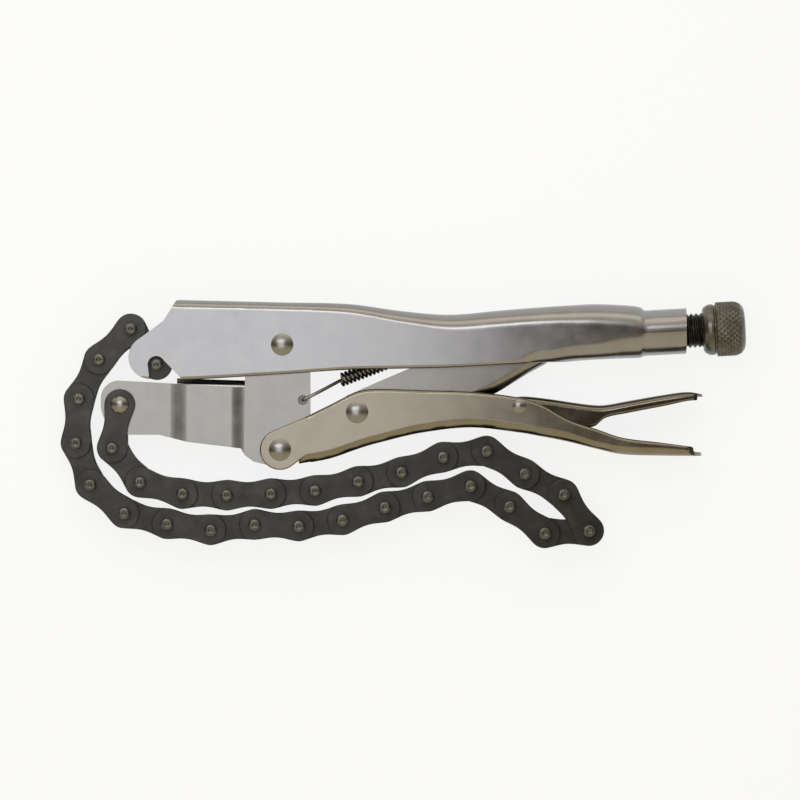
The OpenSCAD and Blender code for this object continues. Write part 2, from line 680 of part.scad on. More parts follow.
// Link n of the chain, from pin n to pin n + 1; odd links have the outer plates and carry the pins
module chain_link(n) {
    from = chain_pins[n - 1];
    run = chain_pins[n] - from;
    color(black) translate([from[0], from[1], 0]) rotate([0, 0, atan2(run[1], run[0])]) {
        if (n % 2 == 1) outer_link(n == 1);
        else inner_link(n == link_count);
    }
}

function two_digits(n) = n < 10 ? str("0", n) : str(n);
function link_name(n) = str("chain_link_", two_digits(n));

upper_handle();
tail_tube();
jaw_rivet();
lower_jaw();
chain_anchor_rivet();
lower_handle();
handle_rivet();
toggle_rivet();
release_rivet();
toggle_link();
release_lever();
screw_tip();
screw_shank();
screw_knob();
return_spring();
for (n = [1:link_count]) chain_link(n);
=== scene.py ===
import bmesh
import bpy
import json
import math
import numpy as np
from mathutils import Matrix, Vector

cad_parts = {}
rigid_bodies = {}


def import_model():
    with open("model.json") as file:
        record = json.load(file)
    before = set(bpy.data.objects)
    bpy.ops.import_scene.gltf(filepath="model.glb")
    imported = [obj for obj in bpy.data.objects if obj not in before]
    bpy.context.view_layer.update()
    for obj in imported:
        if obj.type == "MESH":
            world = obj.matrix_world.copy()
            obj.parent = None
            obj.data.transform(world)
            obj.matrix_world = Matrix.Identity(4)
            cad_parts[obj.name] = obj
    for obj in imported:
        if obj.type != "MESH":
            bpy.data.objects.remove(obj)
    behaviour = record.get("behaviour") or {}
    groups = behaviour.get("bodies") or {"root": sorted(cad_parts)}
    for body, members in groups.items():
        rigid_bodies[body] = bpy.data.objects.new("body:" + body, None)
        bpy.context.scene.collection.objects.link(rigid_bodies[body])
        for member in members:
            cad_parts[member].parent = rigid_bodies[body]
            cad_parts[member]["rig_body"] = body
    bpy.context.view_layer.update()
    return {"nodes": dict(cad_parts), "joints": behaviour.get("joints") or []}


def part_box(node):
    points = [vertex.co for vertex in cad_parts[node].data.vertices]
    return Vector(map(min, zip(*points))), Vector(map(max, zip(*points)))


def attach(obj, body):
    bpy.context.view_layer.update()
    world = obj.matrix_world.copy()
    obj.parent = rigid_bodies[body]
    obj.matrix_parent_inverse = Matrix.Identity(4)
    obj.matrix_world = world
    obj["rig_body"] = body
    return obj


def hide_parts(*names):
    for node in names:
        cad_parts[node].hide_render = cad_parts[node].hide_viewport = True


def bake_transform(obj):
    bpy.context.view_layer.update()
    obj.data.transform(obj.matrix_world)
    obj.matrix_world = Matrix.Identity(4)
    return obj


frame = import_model()
print("frame loaded:", len(frame["nodes"]), "nodes")

mm = 0.001  # the script works in millimetres, Blender in metres
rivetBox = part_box("jaw_rivet")
midZ = (rivetBox[0].z + rivetBox[1].z) / 2 / mm  # middle plane of the pliers
jointAt = {joint["name"]: np.array(joint["pos_m"]) / mm
           for joint in frame["joints"] if "pos_m" in joint}
bodyOf = {node: thing["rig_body"] for node, thing in frame["nodes"].items()}
sameSpot = 1e-7  # metres: points of a new mesh this close become one
mergeGap = 2e-6  # metres: the same for a mesh that was cut
leastR = 1e-3  # points on the axis of a turned profile keep this radius
leastLean = 0.4  # holds back the corners of an inset outline where it bends sharply
edgeAngle = 50  # degrees: edges sharper than this are rounded


# sRGB hex to linear colour
def linear(hexColour):
    rgb = np.array([int(hexColour[i:i + 2], 16) for i in (1, 3, 5)]) / 255
    low, high = rgb / 12.92, ((rgb + 0.055) / 1.055) ** 2.4
    return (*np.where(rgb <= 0.04045, low, high).tolist(), 1.0)


# one node with its settings and its inputs, which are values or other nodes' outputs
def addNode(tree, kind, inputs=None, **settings):
    node = tree.nodes.new(kind)
    for key, value in settings.items():
        setattr(node, key, value)
    for key, value in (inputs or {}).items():
        if isinstance(value, bpy.types.NodeSocket):
            tree.links.new(value, node.inputs[key])
        else:
            node.inputs[key].default_value = value
    return node


# vectors scaled to length one
def unit(v):
    return v / np.linalg.norm(v, axis=-1, keepdims=True)


# direction of an angle: its cosine and its sine
def heading(degrees):
    a = np.radians(degrees)
    return np.stack([np.cos(a), np.sin(a)], axis=-1)


# 0 to 1 with level ends: three times the square less twice the cube
def eased(s):
    s = np.clip(s, 0, 1)
    return s * s * (3 - 2 * s)


# points on a circle, from one angle to another in degrees
def arc(centre, radius, start, end, steps):
    return np.asarray(centre, float) + radius * heading(np.linspace(start, end, steps + 1))


# smooth curve through knots: a column of the rows over x, one cubic in each span
def curveAt(rows, column, x):
    knots = np.array(rows, float)
    kx, kv = knots[:, 0], knots[:, column]
    last = len(kx) - 1
    i = np.clip(np.searchsorted(kx, x, side="right") - 1, 0, last - 1)
    k = np.arange(last + 1)
    before, after = np.maximum(k - 1, 0), np.minimum(k + 1, last)
    slope = (kv[after] - kv[before]) / (kx[after] - kx[before])
    w = kx[i + 1] - kx[i]
    s = (x - kx[i]) / w
    return ((2 * s**3 - 3 * s**2 + 1) * kv[i] + (s**3 - 2 * s**2 + s) * w * slope[i]
            + (3 * s**2 - 2 * s**3) * kv[i + 1] + (s**3 - s**2) * w * slope[i + 1])


# quads of a grid of rings, each ring closed, and a cap at both ends
def loftFaces(rings, points, first):
    a = np.arange(rings - 1)[:, None] * points + np.arange(points)[None, :]
    b = np.arange(rings - 1)[:, None] * points + (np.arange(points) + 1)[None, :] % points
    quads = (np.stack([a, b, b + points, a + points], axis=-1).reshape(-1, 4) + first).tolist()
    quads.append((np.arange(points)[::-1] + first).tolist())
    quads.append((np.arange(points) + (rings - 1) * points + first).tolist())
    return quads


# several closed shells, each an array of rings, as one mesh
def putPiece(name, shells):
    verts, faces, first = [], [], 0
    for shell in shells:
        faces += loftFaces(shell.shape[0], shell.shape[1], first)
        verts.append(shell.reshape(-1, 3))
        first += shell.shape[0] * shell.shape[1]
    mesh = bpy.data.meshes.new(name)
    mesh.from_pydata((np.concatenate(verts) * mm).tolist(), [], faces)
    piece = bpy.data.objects.new(name, mesh)
    bpy.context.scene.collection.objects.link(piece)
    work = bmesh.new()
    work.from_mesh(mesh)
    bmesh.ops.remove_doubles(work, verts=work.verts, dist=sameSpot)
    bmesh.ops.recalc_face_normals(work, faces=work.faces)
    work.to_mesh(mesh)
    work.free()
    return piece


# closed outline moved inwards along its corners' bisectors; the outline runs anticlockwise
def inset(outline, distance):
    ahead = unit(np.roll(outline, -1, axis=0) - outline)
    left = np.stack([-ahead[:, 1], ahead[:, 0]], axis=-1)
    before = np.roll(left, 1, axis=0)
    lean = 1 + np.sum(before * left, axis=1, keepdims=True)
    return outline + distance * (before + left) / np.maximum(lean, leastLean)


# sheet between two heights with a quarter-round rim: the outline's insets stacked over z
def plateRings(outline, low, high, rim, steps=4):
    a = np.linspace(0, np.pi / 2, steps + 1)
    under = np.column_stack([rim * (1 - np.sin(a)), low + rim * (1 - np.cos(a))])
    over = under[::-1] * [1, -1] + [0, low + high]
    return np.array([np.column_stack([inset(outline, d), np.full(len(outline), z)])
                     for d, z in np.concatenate([under, over])])


# straight prism: the same outline at two heights
def prismRings(outline, low, high):
    outline = np.asarray(outline, float)
    return np.array([np.column_stack([outline, np.full(len(outline), z)]) for z in (low, high)])


# profile of (along, radius) points carried round an axis; lift adds a height over (along, angle)
def turnedRings(profile, origin, axis, sides, lift=None):
    axis = unit(np.asarray(axis, float))
    upright = abs(axis[2]) > 0.9
    across = unit(np.cross(axis, [0.0, 1.0, 0.0] if upright else [0.0, 0.0, 1.0]))
    other = np.cross(axis, across)
    profile = np.asarray(profile, float)
    a = np.linspace(0, 2 * np.pi, sides, endpoint=False)
    height = 0 if lift is None else lift(profile[:, :1], a[None, :])
    radius = np.maximum(profile[:, 1], leastR)[:, None] + height
    spoke = np.cos(a)[:, None] * across + np.sin(a)[:, None] * other
    along = profile[:, :1, None] * axis
    return np.asarray(origin, float) + along + radius[:, :, None] * spoke[None]


# profile points along straight runs, no further apart than step
def dense(points, step):
    points = np.asarray(points, float)
    runs = np.linalg.norm(np.diff(points, axis=0), axis=1)
    parts = [np.linspace(a, b, max(int(math.ceil(r / step)), 1), endpoint=False)
             for a, b, r in zip(points[:-1], points[1:], runs)]
    return np.concatenate(parts + [points[-1:]])


# corners of a closed outline cut off, a quarter from each end of a side
def rounded(outline):
    ahead = np.roll(outline, -1, axis=0)
    near, far = 0.75 * outline + 0.25 * ahead, 0.25 * outline + 0.75 * ahead
    return np.stack([near, far], axis=1).reshape(-1, 2)


# modifiers become the mesh itself
def bake(piece):
    shown = piece.evaluated_get(bpy.context.evaluated_depsgraph_get())
    mesh = bpy.data.meshes.new_from_object(shown)
    old = piece.data
    piece.modifiers.clear()
    piece.data = mesh
    bpy.data.meshes.remove(old)
    mesh.name = piece.name


# boolean with a second mesh, which is used up
def carve(piece, cutter, how="DIFFERENCE"):
    cut = piece.modifiers.new("cut", "BOOLEAN")
    cut.object, cut.operation, cut.solver = cutter, how, "EXACT"
    bake(piece)
    bpy.data.objects.remove(cutter)


# faces within flat degrees of each other become one, then the sharp edges are rounded by width
def softenEdges(piece, width, flat=0.3):
    work = bmesh.new()
    work.from_mesh(piece.data)
    bmesh.ops.remove_doubles(work, verts=work.verts, dist=mergeGap)
    bmesh.ops.dissolve_limit(work, angle_limit=math.radians(flat), verts=work.verts,
                             edges=work.edges)
    work.to_mesh(piece.data)
    work.free()
    bevel = piece.modifiers.new("round", "BEVEL")
    bevel.width, bevel.segments = width * mm, 2
    bevel.limit_method, bevel.angle_limit = "ANGLE", math.radians(edgeAngle)
    bevel.miter_outer = "MITER_ARC"
    bake(piece)
    smoothShade(piece)


# smooth shading: edges past the angle stay sharp, and large faces count most in the normals
def smoothShade(piece, angle=48):
    mesh = piece.data
    mesh.polygons.foreach_set("use_smooth", np.ones(len(mesh.polygons), bool))
    mesh.set_sharp_from_angle(angle=math.radians(angle))
    weighted = piece.modifiers.new("even", "WEIGHTED_NORMAL")
    weighted.keep_sharp = True
    weighted.weight = 80


# one material, and what the frame needs to know: the body and the nodes it stands for; the slot is not
# used
def dress(piece, slot, material, *nodes):
    piece.data.materials.clear()
    piece.data.materials.append(material)
    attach(piece, bodyOf[nodes[0]])
    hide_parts(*nodes)


# material with an empty tree
def newMaterial(name):
    material = bpy.data.materials.new(name)
    material.use_nodes = True
    tree = material.node_tree
    tree.nodes.clear()
    return material, tree


nickelFinish = {"toneSpan": (0.32, 0.68), "glossSpan": (0.3, 0.7), "reliefMm": 0.02}


# Nickel-plated pressed steel, tumbled before plating: a satin sheet with a faint cloudy mottle,
# slightly uneven gloss and a fine grain, drawn coarser than the real one so that it shows.
def satinNickel(name, look):
    finish = nickelFinish
    material, tree = newMaterial(name)
    place = addNode(tree, "ShaderNodeTexCoord").outputs["Object"]
    cloud = addNode(tree, "ShaderNodeTexNoise", {
        "Vector": place, "Scale": 1 / (look["cloudMm"] * mm), "Detail": 4.0, "Roughness": 0.6})
    grain = addNode(tree, "ShaderNodeTexNoise", {
        "Vector": place, "Scale": 1 / (look["grainMm"] * mm), "Detail": 3.0, "Roughness": 0.65})
    tone = addNode(tree, "ShaderNodeValToRGB", {"Fac": cloud.outputs["Fac"]})
    for stop, position, shade in zip(tone.color_ramp.elements, finish["toneSpan"], ("shade", "light")):
        stop.position, stop.color = position, linear(look[shade])
    gloss = addNode(tree, "ShaderNodeMapRange", {
        "Value": cloud.outputs["Fac"], "From Min": finish["glossSpan"][0],
        "From Max": finish["glossSpan"][1], "To Min": look["rough"][0], "To Max": look["rough"][1]})
    bump = addNode(tree, "ShaderNodeBump", {
        "Height": grain.outputs["Fac"], "Strength": look["bump"], "Distance": finish["reliefMm"] * mm})
    shader = addNode(tree, "ShaderNodeBsdfPrincipled", {
        "Base Color": tone.outputs["Color"], "Metallic": 1.0, "Roughness": gloss.outputs["Result"],
        "Normal": bump.outputs["Normal"]})
    addNode(tree, "ShaderNodeOutputMaterial", {"Surface": shader.outputs["BSDF"]})
    return material


oxideFinish = {"toneSpan": (0.33, 0.7), "toneMiddle": 0.52, "glossSpan": (0.3, 0.7), "reliefMm": 0.03}


# Black-oxide steel, oiled: near black, with a soft shine, faint brown stains and rubbed high spots;
# the grit is drawn coarser than the real one so that it shows.
def blackOxide(name, look):
    finish = oxideFinish
    material, tree = newMaterial(name)
    place = addNode(tree, "ShaderNodeTexCoord").outputs["Object"]
    stain = addNode(tree, "ShaderNodeTexNoise", {
        "Vector": place, "Scale": 1 / (look["stainMm"] * mm), "Detail": 5.0, "Roughness": 0.6})
    grit = addNode(tree, "ShaderNodeTexNoise", {
        "Vector": place, "Scale": 1 / (look["gritMm"] * mm), "Detail": 3.0, "Roughness": 0.6})
    tone = addNode(tree, "ShaderNodeValToRGB", {"Fac": stain.outputs["Fac"]})
    for stop, position, shade in zip(tone.color_ramp.elements, finish["toneSpan"], ("shade", "light")):
        stop.position, stop.color = position, linear(look[shade])
    middle = tone.color_ramp.elements.new(finish["toneMiddle"])
    middle.color = linear(look["middle"])
    gloss = addNode(tree, "ShaderNodeMapRange", {
        "Value": grit.outputs["Fac"], "From Min": finish["glossSpan"][0],
        "From Max": finish["glossSpan"][1], "To Min": look["rough"][0], "To Max": look["rough"][1]})
    bump = addNode(tree, "ShaderNodeBump", {
        "Height": grit.outputs["Fac"], "Strength": look["bump"], "Distance": finish["reliefMm"] * mm})
    shader = addNode(tree, "ShaderNodeBsdfPrincipled", {
        "Base Color": tone.outputs["Color"], "Metallic": look["metallic"],
        "Roughness": gloss.outputs["Result"], "Normal": bump.outputs["Normal"]})
    addNode(tree, "ShaderNodeOutputMaterial", {"Surface": shader.outputs["BSDF"]})
    return material


# the upper handle's plate, neutral and bright
handleNickel = satinNickel("satinNickelPlate", {
    "shade": "#919090", "light": "#999898", "cloudMm": 9.0, "grainMm": 0.4,
    "rough": (0.2, 0.26), "bump": 0.05})
# the lower handle's plate, yellower and a little darker than the upper handle's: a painted warm, dim
# reflection
warmReflectionNickel = satinNickel("satinNickelPlatePaintedWarmReflection", {
    "shade": "#837c6e", "light": "#8c8679", "cloudMm": 9.0, "grainMm": 0.4,
    "rough": (0.2, 0.26), "bump": 0.05})
# the release lever, rubbed smooth by the thumb and so more of a mirror; its colour is darker than the
# other plate, painted shade for where it lies down inside the lower handle
shadedLeverSteel = satinNickel("polishedLeverSteelPaintedShade", {
    "shade": "#6b655b", "light": "#767167", "cloudMm": 9.0, "grainMm": 0.4,
    "rough": (0.14, 0.2), "bump": 0.04})
# the plate of jaw and toggle, a little duller
jawNickel = satinNickel("satinNickelPlateJaw", {
    "shade": "#84837e", "light": "#8d8b87", "cloudMm": 8.0, "grainMm": 0.4,
    "rough": (0.22, 0.28), "bump": 0.05})
# rivet heads, spun and plated: small bright domes with a soft gleam
rivetSteel = satinNickel("polishedRivetSteel", {
    "shade": "#868683", "light": "#939390", "cloudMm": 2.5, "grainMm": 0.3,
    "rough": (0.26, 0.32), "bump": 0.1})
# spring wire, cold drawn and plated: a line of light on every turn
springWire = satinNickel("drawnSpringWire", {
    "shade": "#7b7770", "light": "#8d8982", "cloudMm": 2.0, "grainMm": 0.3,
    "rough": (0.24, 0.32), "bump": 0.1})
# link plates, punched, blackened and oiled
chainOxide = blackOxide("oiledBlackOxide", {
    "shade": "#2c2b29", "middle": "#343431", "light": "#3f3e3b", "stainMm": 6.0, "gritMm": 0.4,
    "rough": (0.3, 0.42), "bump": 0.3, "metallic": 0.6})
# chain pins, spun after blackening, so that the steel shows through
pinOxide = blackOxide("rubbedBlackOxide", {
    "shade": "#50504b", "middle": "#5d5d57", "light": "#696964", "stainMm": 2.0, "gritMm": 0.3,
    "rough": (0.26, 0.36), "bump": 0.2, "metallic": 0.9})
# screw shank and tip, cut and phosphated: dark and a little matt
screwOxide = blackOxide("phosphatedScrewSteel", {
    "shade": "#1b1914", "middle": "#27251f", "light": "#3b3931", "stainMm": 3.0, "gritMm": 0.4,
    "rough": (0.3, 0.44), "bump": 0.35, "metallic": 0.7})
# knob, knurled, its black worn to grey by the fingers
knobOxide = blackOxide("wornKnobOxide", {
    "shade": "#55534c", "middle": "#64625b", "light": "#74726b", "stainMm": 3.0, "gritMm": 0.4,
    "rough": (0.26, 0.36), "bump": 0.25, "metallic": 0.9})
print("materials made")

channelHalf, wall = 8.8, 2.4
channelIn = channelHalf - wall
cutDepth = 20.0  # cutters reach this far past the middle plane
finerFlat = 0.03  # degrees; the handles' slow curves keep their faces


# seam is the slit where the lips of the tube meet; thinning is the share of the sheet that closing
# takes; mostSheet is the sheet's limit as a share of the height; openTurn is the open lips' angle
press = {"seam": 0.4, "thinning": 0.25, "mostSheet": 0.45, "openTurn": 3, "leastBend": 0.3,
         "leastRun": 0.02, "turnSteps": 7, "lipSteps": 9, "foldSteps": 13}


# folded channel: its section, a U with round folds and round lips that curl in until they close into
# a tube, is carried along x; the lips' middle line turns by curl, with half the sheet on each side
def channelRings(p):
    rows, x = p["rows"], p["along"]
    top, bottom, half, fold, edge, shut = [curveAt(rows, c, x)[:, None] for c in range(1, 7)]
    shut = np.clip(shut, 0, 1)
    sheet = np.minimum(p["sheet"] * (1 - press["thinning"] * shut), press["mostSheet"] * (top - bottom))
    h = sheet / 2
    curl = np.radians(press["openTurn"] + (90 - press["openTurn"]) * shut)
    bend = np.maximum(edge - h, h + press["leastBend"])
    wallZ = half - h
    centreY, centreZ = bottom + h + bend * np.sin(curl), wallZ - bend
    run = np.maximum((centreZ - h - press["seam"] / 2) * eased(shut * 2 - 1), press["leastRun"])
    endY = centreY - bend * np.sin(curl) - run * np.cos(curl)
    endZ = centreZ + bend * np.cos(curl) - run * np.sin(curl)
    turn = np.linspace(1, 0, press["turnSteps"])[None] * curl
    lip = np.radians(np.linspace(-90, 90, press["lipSteps"]))[None] + 0 * curl

    # the lip is a half round about the end, from the inner side to the outer side
    lipY = endY - h * (np.cos(lip) * np.cos(curl) + np.sin(lip) * np.sin(curl))
    lipZ = endZ - h * (np.cos(lip) * np.sin(curl) - np.sin(lip) * np.cos(curl))
    outY, outZ = centreY - (bend + h) * np.sin(turn), centreZ + (bend + h) * np.cos(turn)
    inY, inZ = centreY - (bend - h) * np.sin(turn), centreZ + (bend - h) * np.cos(turn)
    inFold = np.maximum(fold - sheet, press["leastBend"])
    a = np.radians(np.linspace(0, 90, press["foldSteps"]))[None]
    foldY, foldZ = top - fold + fold * np.sin(a), half - fold + fold * np.cos(a)
    backY = top - sheet - inFold + inFold * np.sin(a)
    backZ = half - sheet - inFold + inFold * np.cos(a)
    outerY, outerZ = np.hstack([lipY, outY, foldY]), np.hstack([lipZ, outZ, foldZ])
    innerY, innerZ = np.hstack([inY, backY]), np.hstack([inZ, backZ])
    y = np.hstack([outerY, outerY[:, ::-1], innerY, innerY[:, ::-1]])
    z = np.hstack([outerZ, -outerZ[:, ::-1], -innerZ, innerZ[:, ::-1]])
    if p.get("turned"):
        y = -y
    return np.stack([np.broadcast_to(x[:, None], y.shape), y, z + midZ], axis=-1)


# straight box between two corners, its z from the middle plane
def box(name, low, high):
    outline = [(low[0], low[1]), (high[0], low[1]), (high[0], high[1]), (low[0], high[1])]
    return putPiece(name, [prismRings(outline, midZ + low[2], midZ + high[2])])


tail = {"root": (127.3, 4.0), "tilt": 3.0, "radius": 8.2, "flat": 0.1}
tailOrigin = np.array([*tail["root"], midZ])
tailAxis = np.array([*heading(tail["tilt"]), 0.0])


# row of the tube: a closed channel about the tail axis, round but for a narrow flat
def neckRow(x):
    (rootX, rootY), r = tail["root"], tail["radius"]
    y = rootY + (x - rootX) * math.tan(math.radians(tail["tilt"]))
    return [x, y + r, y - r, r, r - tail["flat"], r - tail["flat"], 1]


# a channel's rows: x, top, bottom, half width, fold radius, lip radius and how far the lips have
# closed, from 0 to 1
upperHandle = {
    "sheet": wall, "webFront": -37.6, "slant": [(-37.6, 16.6), (-42.7, 8.5)],
    "noseCentre": (-47.5, -4.6), "noseR": 7.7, "noseArc": (126, 280), "noseBehind": 12,
    "seat": (-45.2, -7.2), "notchR": 3.1, "notchArc": (180, 30), "mouthAhead": 0.7,
    "mouthBehind": 8.5, "far": 40, "farX": -90, "edgeRound": 0.45,
    "along": np.concatenate([np.linspace(-55.3, 128.7, 150), 128.7 + np.linspace(0.2, 1.8, 8),
                             np.linspace(131.5, 145.27, 12)]),
    "rows": [
        [-55.3, 16.5, -12.4, channelHalf, 3.6, 0.6, 0],
        [-37.6, 16.1, -12.7, channelHalf, 3.6, 0.6, 0],
        [0, 15.2, -10.6, channelHalf, 3.6, 0.6, 0],
        [24, 14.6, -9, channelHalf, 4.2, 0.6, 0],
        [43, 12.1, -8.6, channelHalf, 5.2, 0.7, 0],
        [60, 10.8, -8.2, channelHalf, 6.2, 0.8, 0],
        [78, 12.3, -7.2, channelHalf, 6.8, 1.2, 0],
        [84, 12.8, -6.9, channelHalf, 6.9, 3.2, 0.12],
        [90, 13.25, -6.5, channelHalf, 7.0, 5.0, 0.55],
        [96, 13.7, -6.1, channelHalf, 7.1, 5.2, 0.62],
        [104, 14.2, -5.7, channelHalf, 7.6, 5.8, 0.85],
        [112, 14.6, -5.4, channelHalf, 8, 6.0, 1],
        [123.5, 14.2, -4.9, channelHalf - 0.15, 8.2, 7.6, 1],
        [128.7, 13.5, -4.7, channelHalf - 0.3, 8.2, 7.9, 1],
        neckRow(130.5), neckRow(132.3), neckRow(145.27)]}


# channel whose front is cut to the slant, the hook nose and the notch, and opened between the ears
def makeUpperHandle(p):
    piece = putPiece("upperHandle", [channelRings(p)])
    c, r = np.array(p["noseCentre"]), p["noseR"]
    far, farX, behind = p["far"], p["farX"], p["webFront"] + p["noseBehind"]
    line = np.concatenate([[(behind, far)], p["slant"], arc(c, r, *p["noseArc"], 40),
                           [(behind, -far), (farX, -far), (farX, far)]])
    carve(piece, putPiece("noseCut", [prismRings(line, midZ - cutDepth, midZ + cutDepth)]))
    seat, n = np.array(p["seat"]), p["notchR"]
    mouthY = seat[1] - r
    mouth = [(seat[0] + n + p["mouthBehind"], mouthY), (seat[0] - n * p["mouthAhead"], mouthY)]
    notch = np.concatenate([arc(seat, n, *p["notchArc"], 20), mouth])
    carve(piece, putPiece("notchCut", [prismRings(notch, midZ - cutDepth, midZ + cutDepth)]))
    carve(piece, box("earGap", (farX, -far, -channelIn), (p["webFront"], far, channelIn)))
    softenEdges(piece, p["edgeRound"], flat=finerFlat)
    dress(piece, "plated_steel", handleNickel, "upper_handle", "tail_tube")


makeUpperHandle(upperHandle)
print("upper handle made")

lowerHandle = {
    "sheet": wall, "turned": True, "webStart": 10.2, "eye": (-0.8, -37.8), "eyeR": 7.2,
    "eyeArc": (117, 300), "earRoot": [(8, -40.2), (9.5, -39.4), (9.5, -25.8), (7, -26.7)],
    "earRim": 0.5, "gapX": -40, "gapY": (-60, 10), "tailEnd": 150.8, "tailR": 9.2,
    "edgeRound": 0.45, "along": np.linspace(6, 151, 150),
    "rows": [
        [6, -27.2, -43, channelHalf, 3.6, 0.6, 0],
        [17, -21.7, -41, channelHalf, 3.6, 0.6, 0],
        [27, -16.9, -37.6, channelHalf, 3.6, 0.6, 0],
        [34, -16, -35.5, channelHalf, 3.6, 0.6, 0],
        [50, -16.4, -31.7, channelHalf, 3.6, 0.6, 0],
        [68, -17, -29.8, channelHalf, 3.6, 0.6, 0],
        [85, -19, -31.6, channelHalf, 3.6, 0.6, 0],
        [93, -21.6, -33, channelHalf, 3.6, 0.6, 0],
        [103, -27, -35, channelHalf, 3.6, 0.6, 0],
        [113, -30.4, -37.5, channelHalf, 3, 0.6, 0],
        [122, -33.4, -39.4, channelHalf, 3.2, 0.5, 0],
        [136, -35.2, -39.9, channelHalf, 3, 0.4, 0],
        [151, -37.2, -40, channelHalf - 0.6, 2, 0.15, 0]]}


tailCut = {"reach": 40, "fromY": -60, "toY": 20}


# the tail is cut round, seen square to its web: all that lies outside a half circle goes
def roundTail(piece, end, radius):
    reach = tailCut["reach"]
    line = np.concatenate([arc((end - radius, 0), radius, -90, 90, 40),
                           [(end + reach, reach), (end + reach, -reach)]])
    rings = prismRings(line, tailCut["fromY"], tailCut["toY"])[..., [0, 2, 1]] + [0, 0, midZ]
    carve(piece, putPiece("tailCut", [rings]))


# channel turned over so that it opens upwards, with two round ears at the front and a round tail
def makeLowerHandle(p):
    turnedOver = [[r[0], -r[2], -r[1], *r[3:]] for r in p["rows"]]
    piece = putPiece("lowerHandle", [channelRings({**p, "rows": turnedOver})])
    eye, r = np.array(p["eye"]), p["eyeR"]
    ear = np.concatenate([arc(eye, r, *p["eyeArc"], 40), p["earRoot"]])
    for low in (-channelHalf, channelIn):
        rings = plateRings(ear, midZ + low, midZ + low + wall, p["earRim"])
        carve(piece, putPiece("ear", [rings]), "UNION")
    lowY, highY = p["gapY"]
    carve(piece, box("earGap", (p["gapX"], lowY, -channelIn), (p["webStart"], highY, channelIn)))
    roundTail(piece, p["tailEnd"], p["tailR"])
    softenEdges(piece, p["edgeRound"], flat=finerFlat)
    # the yellower, darker plate colour is a painted warm reflection
    dress(piece, "plated_steel", warmReflectionNickel, "lower_handle")


makeLowerHandle(lowerHandle)
print("lower handle made")

leverHalf = 5.97
releaseLever = {
    "sheet": 1.9, "tipEnd": 151.2, "tipR": 6.37, "edgeRound": 0.35,
    "along": np.linspace(79.5, 151.4, 110),
    "rows": [
        [79.5, -19.6, -24.4, leverHalf, 2.2, 0.4, 0],
        [86, -18.6, -26, leverHalf, 2.4, 0.4, 0],
        [95, -19.4, -27.6, leverHalf, 2.6, 0.4, 0],
        [106, -21, -29.6, leverHalf, 2.6, 0.4, 0],
        [112, -21.7, -29.4, leverHalf, 2.6, 0.4, 0],
        [116, -21.7, -26.4, leverHalf, 2.6, 0.4, 0],
        [124, -20.3, -24.6, leverHalf, 2.6, 0.4, 0],
        [138, -17.9, -21.9, leverHalf, 2.4, 0.3, 0],
        [146, -17, -20.2, leverHalf, 2.2, 0.3, 0],
        [151.4, -17.9, -20, leverHalf - 0.4, 1.4, 0.1, 0]]}


# narrow channel with its web on top and a round tail
def makeReleaseLever(p):
    piece = putPiece("releaseLever", [channelRings(p)])
    roundTail(piece, p["tipEnd"], p["tipR"])
    softenEdges(piece, p["edgeRound"], flat=finerFlat)
    # the lever's darker colour is painted shade
    dress(piece, "plated_steel", shadedLeverSteel, "release_lever")


makeReleaseLever(releaseLever)
print("release lever made")

# sole, belly, web, foldEnds and brow are steps from the places along x where the sheets step in, and
# from the foot, the low edge or the top edge
lowerJaw = {
    "half": 6.0, "drop": 1.05, "straight": 0.7, "firstStep": (-13.4, -18.6),
    "secondStep": (-34.0, -40.4), "throatY": 3, "eyeR": 8.2, "eyeArc": (158, 14), "right": 10.0,
    "rightY": (2, -30), "foot": (-0.8, -37.8), "footR": 6.6, "sole": [(3, -4.2), (0, -2)],
    "left": -65.3, "low": -32.4, "belly": [(-1.5, -4.9), (0, -2.6), (-4, 0)], "lowerR": 11.0,
    "top": -12.9, "brow": [(0, -1), (0, -2.4), (0, -2.4)], "upperR": 6.5,
    "web": [(-2.2, -4.5), (-2.2, -2.3), (0.6, -0.4), (0.6, -2.5)], "webHalf": 4,
    "foldR": 2.6, "foldHalf": 3.7, "foldLift": 0.5, "foldEnds": [(2.5, 0.3), (0.4, -0.5)],
    "springHole": (7.4, -19.9), "springHoleR": 1.8, "sheetX": (-70, 12), "sheetY": (-60, 20),
    "clip": 12, "flat": 0.2, "edgeRound": 0.5}


# half width over x: it falls by drop along each step, mostly straight and partly eased
def cheekZ(p, x):
    runs = [np.clip((a - x) / (a - b), 0, 1) for a, b in (p["firstStep"], p["secondStep"])]
    mix = p["straight"]
    return p["half"] - p["drop"] * sum(mix * run + (1 - mix) * eased(run) for run in runs)


# points a step away from places along x and from one height
def stepped(places, height, steps):
    return [(x + dx, height + dy) for x, (dx, dy) in zip(places, steps)]


